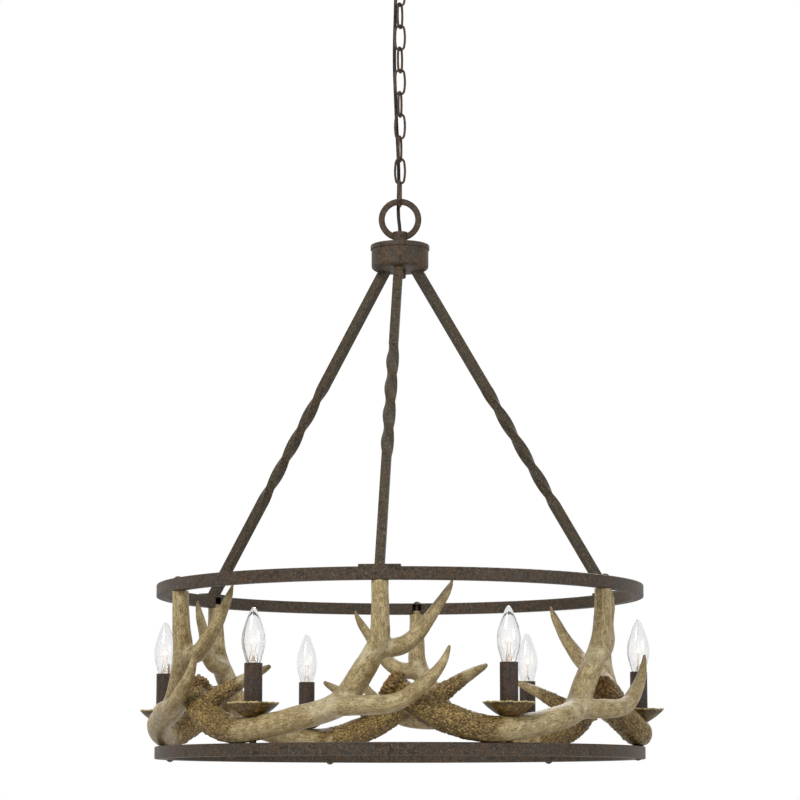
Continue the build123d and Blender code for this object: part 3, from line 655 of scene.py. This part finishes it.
def antler_mesh():
    """The first antler, re-meshed from its solid, with rounded crotches, pebbled base and grain."""
    data = remeshed_antler()
    co, edges = mesh_arrays(data)
    count = len(co)

    # the limb that each vertex belongs to, and how nearly it belongs to a second one
    lines = [limb_line(stations) for stations in LIMBS]
    indices, scores = zip(*(nearest_on(line, radius, co) for line, radius, _ in lines))
    indices, scores = np.array(indices), np.array(scores)
    places = np.array([place[best] for (_, _, place), best in zip(lines, indices)])
    limb = scores.argmin(0)
    ordered = np.sort(scores, axis=0)
    junction = 1 - smoothstep(0.10, 0.75, ordered[1] - ordered[0])
    place = places[limb, np.arange(count)]

    # held: sawn, drilled and resting faces keep their place
    held = np.maximum.reduce([
        1 - smoothstep(0.0015, 0.006, co[:, 2] - LOWER_TOP),
        smoothstep(-0.004, -0.0005, co[:, 2] - UPPER_BOTTOM),
    ])
    seat = polar(CANDLE_ANGLES[0], RING_MID, 0)
    seat_away = np.hypot(co[:, 0] - seat.x, co[:, 1] - seat.y)
    under_cup = ((1 - smoothstep(0.030, 0.040, seat_away))
                 * smoothstep(LOWER_TOP + 0.028, LOWER_TOP + 0.032, co[:, 2]))
    held = np.maximum(held, under_cup)

    # crotches, as the limbs grow into each other
    for _ in range(CROTCH_PASSES):
        mean = neighbour_mean(co, edges, count)
        co += (mean - co) * (junction * (1 - held))[:, None] * 0.8

    # around and along each limb
    grain = np.zeros((count, 3))
    axis = np.zeros((count, 3))
    for index, (line, radius, _) in enumerate(lines):
        mine = np.where(limb == index)[0]
        ahead, side, up = frames_along(line)
        at = indices[index, mine]
        axis[mine] = ahead[at]
        out = co[mine] - line[at]
        turn = np.arctan2((out * up[at]).sum(1), (out * side[at]).sum(1))
        r = radius[at]
        grain[mine] = np.stack([r * np.cos(turn), r * np.sin(turn), place[mine] + 0.31 * index], axis=1)

    # the pebbled base: all of the beam's root, thinning out towards the candle, and the brow tine's root
    wander = np.array([noise.noise(Vector(p) * 45) for p in co])
    wander_fine = np.array([noise.noise(Vector(p) * 130) for p in co])
    beam_zone = 1 - smoothstep(0.105, 0.185, place + 0.035 * wander + 0.018 * wander_fine)
    brow_zone = 1 - smoothstep(0.045, 0.105, place + 0.022 * wander + 0.015 * wander_fine)
    burr = np.where(limb == BEAM_INDEX, beam_zone,
                    np.where(limb == BROW_INDEX, brow_zone, np.where(limb == NUB_INDEX, 0.35, 0.0)))
    for _ in range(EDGE_PASSES):
        burr = 0.5 * burr + 0.5 * neighbour_mean(burr, edges, count)

    # the coronet and the cast-off face at the root
    beam_line = lines[BEAM_INDEX][0]
    root = beam_line[0]
    root_dir = beam_line[6] - root
    root_dir /= np.linalg.norm(root_dir)
    along_root = (co - root) @ root_dir
    rim_away = np.linalg.norm(co - root - along_root[:, None] * root_dir, axis=1)
    face = (1 - smoothstep(-0.0030, 0.0005, along_root + 0.0035)) * (1 - smoothstep(0.019, 0.0225, rim_away))
    coronet = (1 - smoothstep(0.004, 0.013, np.abs(along_root - 0.001))) * smoothstep(0.017, 0.021, rim_away)

    data.vertices.foreach_set("co", co.ravel())
    data.update()
    normals = np.zeros(count * 3)
    data.vertices.foreach_get("normal", normals)
    normals = normals.reshape(-1, 3)

    # painted shade: a mask that darkens the faces that look downwards, where less light reaches them
    painted_underside_shade = smoothstep(0.15, -0.85, normals[:, 2])
    near_root = 1 - smoothstep(0.004, 0.020, along_root + 0.006 * wander_fine)
    coronet = np.maximum(coronet, near_root * (limb == BEAM_INDEX))

    # pebbles, grain and lumps push the skin along its normals
    relief = pebble_relief(co, burr, axis)
    streak = np.array([
        noise.noise(Vector((g[0] * 260, g[1] * 260, g[2] * 30)))
        + 0.6 * noise.noise(Vector((g[0] * 520, g[1] * 520, g[2] * 150))) for g in grain
    ]) * (1 - 0.8 * junction)
    lump = np.array([noise.noise(Vector(p) * 38 + Vector((3, 1, 7))) for p in co])
    push = (burr * (relief * PEBBLE_HEIGHT - PEBBLE_SINK) + (1 - burr) * streak * STREAK_HEIGHT
            + lump * LUMP_HEIGHT)
    push += coronet * CORONET_HEIGHT * relief
    push -= face * FACE_DEPTH * (0.5 + 0.5 * wander_fine)
    co += normals * (push * (1 - held))[:, None]
    data.vertices.foreach_set("co", co.ravel())

    tip = np.zeros(count)
    for index, length in ((LOWER_INDEX, 0.020), (UPPER_INDEX, 0.022), (BROW_INDEX, 0.018)):
        end = lines[index][2][-1]
        tip = np.where(limb == index, smoothstep(end - length, end - 0.002, place), tip)
    for name, values in (("burr", burr), ("relief", np.clip(relief, 0, 1)), ("face", face), ("tip", tip),
                         ("coronet", coronet), ("junction", junction), ("painted_underside_shade", painted_underside_shade)):
        attribute = data.attributes.new(name, "FLOAT", "POINT")
        attribute.data.foreach_set("value", values.astype(np.float32))
    attribute = data.attributes.new("grain", "FLOAT_VECTOR", "POINT")
    attribute.data.foreach_set("vector", grain.astype(np.float32).ravel())
    for polygon in data.polygons:
        polygon.use_smooth = True
    data.update()
    return data


def antler_material():
    """Streaked and peppered tan, with bark on the pebbled base and a raw cast-off face; painted shade on the
    undersides, painted highlights in the crotches and on the pebbles' tops.
    """
    n = Nodes("antler")
    grain = n.attribute("grain", "Vector")
    burr, relief, junction, painted_underside_shade = (n.attribute(name) for name in ("burr", "relief", "junction", "painted_underside_shade"))
    where = n.place()
    long_streaks = n.noise(n.scaled(grain, (1, 1, 0.16)), 380, 4, 0.7)
    flecks = n.noise(n.scaled(grain, (1, 1, 0.42)), 900, 4, 0.72)
    speckle = n.noise(n.scaled(grain, (1, 1, 0.7)), 2100, 2, 0.7)
    pepper = n.noise(n.scaled(grain, (1, 1, 0.8)), 620, 2, 0.6)
    clouds = n.noise(where, 15, 4, 0.6)
    patches = n.noise(where, 75, 5, 0.72, 0.4)
    fine = n.noise(where, 900, 3, 0.65)

    # the smooth limbs
    grainy = n.math("SUBTRACT", 1.0, n.times(junction, 0.8))
    tan = n.ramp(patches, [(0.36, lin(192, 174, 126)), (0.50, lin(166, 144, 95)), (0.64, lin(128, 104, 57))])
    for share, colour in (
        (n.times(grainy, n.span(long_streaks, 0.50, 0.34, 0, 0.6)), lin(108, 87, 46)),
        (n.times(grainy, n.span(long_streaks, 0.52, 0.68, 0, 0.55)), lin(222, 208, 166)),
        (n.span(clouds, 0.50, 0.68, 0, 0.55), lin(134, 108, 56)),
        (n.span(clouds, 0.46, 0.32, 0, 0.45), lin(208, 193, 150)),
        (n.span(flecks, 0.49, 0.34, 0, 0.75), lin(86, 65, 29)),
        (n.span(flecks, 0.55, 0.70, 0, 0.75), lin(228, 216, 180)),
        (n.span(speckle, 0.44, 0.28, 0, 0.8), lin(58, 41, 16)),
        (n.span(pepper, 0.60, 0.70, 0, 0.55), lin(226, 212, 172)),
        (n.span(pepper, 0.41, 0.31, 0, 0.85), lin(62, 45, 18)),
        # painted highlight: pale in the crotches, where the limbs meet
        (n.times(junction, n.span(patches, 0.62, 0.42, 0, 0.5)), lin(208, 198, 168)),
        # painted shade on the limbs' undersides
        (n.times(painted_underside_shade, 0.45), lin(100, 77, 36)),
        (n.times(n.attribute("tip"), 0.5), lin(100, 78, 42)),
    ):
        tan = n.mix(share, tan, colour)

    # the pebbled base, and the coronet round its root
    grit = n.noise(where, 430, 3, 0.7)
    bumps = n.add(n.times(relief, 0.5), n.span(grit, 0.32, 0.68, -0.10, 0.60))
    bumps = n.add(bumps, n.span(fine, 0.3, 0.7, -0.20, 0.20))
    rooty = n.ramp(n.add(n.times(bumps, 0.5), n.times(patches, 0.5)), [
        (0.22, lin(22, 14, 2)), (0.40, lin(70, 47, 12)), (0.56, lin(112, 80, 26)), (0.78, lin(168, 130, 62))])
    bark = n.ramp(bumps, [
        (0.0, lin(36, 24, 4)), (0.22, lin(74, 54, 16)), (0.55, lin(116, 90, 38)), (0.95, lin(168, 138, 70))])
    for share, colour in (
        (n.span(clouds, 0.42, 0.62, 0, 0.55), lin(76, 52, 10)),
        (n.span(patches, 0.46, 0.32, 0, 0.45), lin(124, 102, 48)),
        # painted highlights: pale glints on the pebbles' tops
        (n.times(n.span(flecks, 0.52, 0.64, 0, 0.9), n.span(relief, 0.1, 0.6)), lin(222, 194, 126)),
        (n.span(flecks, 0.48, 0.34, 0, 0.6), lin(70, 46, 14)),
        (n.span(speckle, 0.44, 0.30, 0, 0.6), lin(40, 26, 6)),
        (n.times(n.attribute("coronet"), n.span(patches, 0.40, 0.56, 0.35, 0.95)), rooty),
        # painted shade on the pebbled base's undersides
        (n.times(painted_underside_shade, 0.4), lin(54, 36, 10)),
    ):
        bark = n.mix(share, bark, colour)
    colour = n.mix(n.span(burr, 0.10, 0.55), tan, bark)

    # the face where the antler was cast off
    pits = n.noise(where, 260, 4, 0.7)
    cast = n.ramp(pits, [
        (0.38, lin(72, 46, 16)), (0.50, lin(136, 98, 44)), (0.60, lin(184, 138, 72)), (0.72, lin(212, 174, 114))])
    colour = n.mix(n.span(n.attribute("face"), 0.2, 0.8), colour, cast)
    n.surface({"Base Color": colour, "Roughness": n.span(flecks, 0.3, 0.7, 0.34, 0.50), "Specular IOR Level": 0.4})
    height = n.add(n.times(flecks, 0.7), n.times(fine, n.span(burr, 0, 1, 0.3, 1.5)))
    height = n.add(height, n.times(long_streaks, n.span(burr, 0, 1, 0.9, 0.2)))
    n.bump(height, 0.6, 0.0012)
    return n.mat


cast_mesh = antler_mesh()
wear(cast_mesh, antler_material())
for number in range(1, ANTLERS + 1):
    turned_mesh = cast_mesh.copy()
    turned_mesh.transform(Matrix.Rotation(math.radians(ANTLER_STEP * (number - 1)), 4, "Z"))
    piece = object_of(f"antler_cast_{number}", turned_mesh)
    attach(piece, "chandelier")
    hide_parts(f"antler_{number}")

# ---------------------------------------------------------------- candle cups

CUP_FOOT, CUP_RADIUS, CUP_DEPTH, CUP_WALL = 0.013, 0.0371, 0.019, 0.0018
CUP_HOLE = 0.0051           # radius of the threaded tube's hole
CUP_RINGS, CUP_SIDES = 15, 120


def cup_material():
    """Beaten bronze, blotched dark and gold, worn bright along the rim."""
    n = Nodes("cup")
    where = n.place()
    blotch = n.noise(where, 190, 4, 0.65, 0.6)
    fine = n.noise(where, 760, 3, 0.65)
    colour = n.ramp(blotch, [
        (0.32, lin(28, 17, 1)), (0.45, lin(60, 40, 3)), (0.55, lin(88, 64, 14)), (0.68, lin(128, 100, 40))])
    colour = n.mix(n.span(fine, 0.60, 0.72, 0, 0.8), colour, lin(196, 174, 118))
    colour = n.mix(n.span(fine, 0.44, 0.30, 0, 0.8), colour, lin(26, 17, 3))
    worn = n.times(n.span(n.attribute("rim"), 0.72, 1.0), n.span(blotch, 0.36, 0.50))
    colour = n.mix(worn, colour, lin(196, 174, 122))
    n.surface({"Base Color": colour, "Specular IOR Level": 0.35, "Roughness": n.span(fine, 0.3, 0.7, 0.36, 0.56)})
    n.bump(n.add(blotch, n.times(fine, 0.5)), 0.5, 0.0012)
    return n.mat


cup_look = cup_material()


def cup_profile(share):
    """The dish's underside: radius and height at a share from foot to rim."""
    radius = CUP_FOOT + (CUP_RADIUS - CUP_FOOT) * share
    height = CUP_DEPTH * (0.74 * share + 0.26 * share ** 2.4)
    return radius, height


def cup_row(level, ring, side):
    """A vertex's number: the underside is level 0, the inside level 1."""
    return (level * (CUP_RINGS + 1) + ring) * CUP_SIDES + side % CUP_SIDES


def cup_piece(number, angle):
    """A beaten dish with an uneven, nicked rim, and a hole in its foot."""
    centre = polar(angle, RING_MID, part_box(f"candle_cup_{number}")[0].z)
    row = cup_row
    vertices, rim = [], []
    for level in range(2):
        for ring in range(CUP_RINGS + 1):
            share = ring / CUP_RINGS
            radius, height = cup_profile(share)
            for side in range(CUP_SIDES):
                turn = 2 * math.pi * side / CUP_SIDES
                out = Vector((math.cos(turn), math.sin(turn), 0))
                wave = noise.noise(out * 2.2 + Vector((number * 3.1, 0, 0)))
                nick = noise.noise(out * 9.0 + Vector((0, number * 1.7, 2)))
                beat = noise.noise(out * 6.0 * (0.4 + share) + Vector((number, 4 * share, 0)))
                edge = share ** 4
                chip = max(0, noise.noise(out * 21 + Vector((number * 2.3, 5, 0))))
                r = radius - edge * (0.0009 + 0.0008 * wave + 0.0016 * max(0, nick) + 0.0018 * chip)
                z = height - edge * (0.0008 + 0.0009 * wave + 0.0018 * max(0, nick)) + 0.0006 * beat * share
                if level:
                    z += CUP_WALL * (1.0 - 0.45 * edge)
                    r -= 0.0006 * edge
                vertices.append(centre + out * r + Vector((0, 0, z)))
                rim.append(edge)
    faces = []
    for ring in range(CUP_RINGS):
        for side in range(CUP_SIDES):
            faces.append((row(0, ring, side), row(0, ring + 1, side),
                          row(0, ring + 1, side + 1), row(0, ring, side + 1)))
            faces.append((row(1, ring, side + 1), row(1, ring + 1, side + 1),
                          row(1, ring + 1, side), row(1, ring, side)))
    for side in range(CUP_SIDES):
        faces.append((row(0, CUP_RINGS, side), row(1, CUP_RINGS, side),
                      row(1, CUP_RINGS, side + 1), row(0, CUP_RINGS, side + 1)))
    # the floor, from the foot in to the threaded tube's hole
    start = len(vertices)
    for level in range(2):
        for side in range(CUP_SIDES):
            turn = 2 * math.pi * side / CUP_SIDES
            vertices.append(centre + Vector((CUP_HOLE * math.cos(turn), CUP_HOLE * math.sin(turn), CUP_WALL * level)))
            rim.append(0)
    for side in range(CUP_SIDES):
        a, b = side, (side + 1) % CUP_SIDES
        faces.append((start + a, row(0, 0, a), row(0, 0, b), start + b))
        faces.append((start + CUP_SIDES + b, row(1, 0, b), row(1, 0, a), start + CUP_SIDES + a))
        faces.append((start + b, start + CUP_SIDES + b, start + CUP_SIDES + a, start + a))
    piece = mesh_object(f"cup_{number}", vertices, faces, cup_look)
    attribute = piece.data.attributes.new("rim", "FLOAT", "POINT")
    attribute.data.foreach_set("value", np.array(rim, np.float32))
    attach(piece, "chandelier")
    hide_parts(f"candle_cup_{number}")


for number, angle in enumerate(CANDLE_ANGLES, start=1):
    cup_piece(number, angle)

# ---------------------------------------------------------------- bulbs

# all in metres above the glass's foot, or out from its middle
STEM = [(0, 0.0012), (0.0050, 0.0014), (0.0034, 0.0060), (0.0016, 0.0110), (0.0014, 0.0165), (0.0021, 0.0185),
        (0.0012, 0.0200), (0, 0.0204)]
LEAD = [(0.0066, 0.0030), (0.0056, 0.0100), (0.0036, 0.0170), (0.0030, 0.0220), (0.0037, 0.0265), (0.0042, 0.0300)]
LEAD_RADIUS = 0.00034
COIL_HALF, COIL_FOOT, COIL_ARCH = 0.0042, 0.0300, 0.0042
COIL_TURNS, COIL_POINTS, COIL_RADIUS, COIL_WIRE = 12, 97, 0.00055, 0.00016
COIL_TURN = 25              # degrees by which each bulb's filament is turned on from the last
PAINTED_GLOW_STEPS, PAINTED_GLOW_STRENGTH = 12, 1.15
# The CAD glass drawn in above its middle: shares of height, and of radius kept there.
GLASS_TAPER = ((0, 0.44, 0.50, 0.55, 0.61, 0.68, 0.75, 0.83, 0.88, 0.92, 0.96, 1),
               (1, 1, 0.98, 0.96, 0.93, 0.88, 0.84, 0.82, 0.82, 0.86, 0.91, 1))

# painted glow: the stem's glass gives off a little warm light, standing for the filament's light falling on it
stem_glass = Nodes("stem_glass")
stem_glass.surface({"Base Color": (0.97, 0.90, 0.78, 1), "Roughness": 0.12, "Transmission Weight": 1.0,
                    "Emission Color": (1.0, 0.74, 0.42, 1), "Emission Strength": 0.06})
wire = Nodes("lead_wire")
wire.surface({"Base Color": lin(120, 84, 48), "Metallic": 1.0, "Roughness": 0.35})
hot = Nodes("filament")
hot.surface({"Base Color": (1, 0.9, 0.7, 1), "Emission Color": (1.0, 0.86, 0.62, 1), "Emission Strength": 9.0})


def painted_glow_material(name, share, colour):
    """Painted glow round the filament: a see-through shell that gives off light of its own."""
    n = Nodes(name)
    n.surface({"Base Color": (0, 0, 0, 1), "Roughness": 1.0, "Specular IOR Level": 0.0, "Emission Color": colour,
               "Emission Strength": PAINTED_GLOW_STRENGTH, "Alpha": share})
    return n.mat


# each shell of painted glow: its letter, material, half width, middle's height and half height
PAINTED_GLOWS = [
    ("a", painted_glow_material("painted_glow_core", 0.34, (1.0, 0.93, 0.80, 1)), 0.0040, 0.0300, 0.0100),
    ("b", painted_glow_material("painted_glow_middle", 0.20, (1.0, 0.96, 0.90, 1)), 0.0078, 0.0310, 0.0165),
    ("c", painted_glow_material("painted_glow_outer", 0.12, (1.0, 0.985, 0.96, 1)), 0.0115, 0.0325, 0.0225),
]


def turned(profile, centre, sides=28):
    """Vertices and faces turned about the vertical through a centre; the profile's ends lie on it."""
    vertices, faces = [], []
    for radius, height in profile[1:-1]:
        for side in range(sides):
            turn = 2 * math.pi * side / sides
            vertices.append(centre + Vector((radius * math.cos(turn), radius * math.sin(turn), height)))
    bottom, top = len(vertices), len(vertices) + 1
    vertices += [centre + Vector((0, 0, profile[0][1])), centre + Vector((0, 0, profile[-1][1]))]
    rows = len(profile) - 2
    for row in range(rows - 1):
        for side in range(sides):
            a, b = row * sides + side, row * sides + (side + 1) % sides
            faces.append((a, b, b + sides, a + sides))
    for side in range(sides):
        following = (side + 1) % sides
        faces.append((bottom, following, side))
        faces.append((top, (rows - 1) * sides + side, (rows - 1) * sides + following))
    return vertices, faces


def tapered_glass(number, foot, tall):
    """A copy of a bulb's CAD glass, drawn in towards its tip."""
    shape = nodes[f"bulb_glass_{number}"].data.copy()
    edit = bmesh.new()
    edit.from_mesh(shape)
    bmesh.ops.remove_doubles(edit, verts=edit.verts, dist=1e-6)
    for vertex in edit.verts:
        taper = float(np.interp((vertex.co.z - foot.z) / tall, *GLASS_TAPER))
        vertex.co.x = foot.x + (vertex.co.x - foot.x) * taper
        vertex.co.y = foot.y + (vertex.co.y - foot.y) * taper
    edit.to_mesh(shape)
    edit.free()
    if "custom_normal" in shape.attributes:
        shape.attributes.remove(shape.attributes["custom_normal"])
    for polygon in shape.polygons:
        polygon.use_smooth = True
    return shape


def filament_line(foot, side):
    """The points of a coil that arches from one lead wire to the other."""
    up, across = Vector((0, 0, 1)), Vector((-side.y, side.x, 0))
    coil = []
    for step in range(COIL_POINTS):
        share = step / (COIL_POINTS - 1)
        x = -COIL_HALF + 2 * COIL_HALF * share
        rise = COIL_FOOT + COIL_ARCH * math.sin(math.pi * share)
        spin = 2 * math.pi * COIL_TURNS * share
        coil.append(foot + side * x + up * rise + (across * math.cos(spin) + up * math.sin(spin)) * COIL_RADIUS)
    return coil


for number in range(1, ANTLERS + 1):
    low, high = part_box(f"bulb_glass_{number}")
    foot = Vector(((low.x + high.x) / 2, (low.y + high.y) / 2, low.z))
    body = f"bulb_{number}"
    torpedo = object_of(f"torpedo_glass_{number}", tapered_glass(number, foot, high.z - low.z))
    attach(torpedo, body)
    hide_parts(f"bulb_glass_{number}")
    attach(mesh_object(f"bulb_stem_{number}", *turned(STEM, foot), stem_glass.mat), body)
    turn = math.radians(COIL_TURN * number)
    side = Vector((math.cos(turn), math.sin(turn), 0))
    for end, sign in (("a", -1), ("b", 1)):
        lead = [foot + side * sign * x + Vector((0, 0, z)) for x, z in LEAD]
        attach(mesh_object(f"bulb_lead_{end}_{number}", *tube(lead, LEAD_RADIUS, 8), wire.mat), body)
    coil = filament_line(foot, side)
    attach(mesh_object(f"bulb_filament_{number}", *tube(coil, COIL_WIRE, 6), hot.mat), body)
    # painted glow: see-through shells round the filament that give off light
    for letter, mat, wide, rise, half in PAINTED_GLOWS:
        profile = [(0, rise - half)]
        for step in range(1, PAINTED_GLOW_STEPS):
            t = math.pi * step / PAINTED_GLOW_STEPS
            profile.append((wide * math.sin(t) * (1.05 - 0.1 * math.cos(t)), rise - half * math.cos(t)))
        profile.append((0, rise + half))
        painted_glow = mesh_object(f"bulb_painted_glow_{letter}_{number}", *turned(profile, foot), mat)
        painted_glow.visible_shadow = False
        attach(painted_glow, body)

# ---------------------------------------------------------------- floor

FLOOR_Z, FLOOR_HALF = -1.95, 9

floor_look = Nodes("floor")
floor_look.surface({
    "Base Color": floor_look.ramp(floor_look.noise(floor_look.place(), 3.0, 4),
                                  [(0.3, (0.80, 0.80, 0.80, 1)), (0.7, (0.84, 0.84, 0.84, 1))]),
    "Roughness": 0.8, "Emission Color": (1, 1, 1, 1), "Emission Strength": 0.2,
})
corners = [(x * FLOOR_HALF, y * FLOOR_HALF, FLOOR_Z) for x, y in ((-1, -1), (1, -1), (1, 1), (-1, 1))]
floor = mesh_object("floor", corners, [(0, 1, 2, 3)], floor_look.mat)
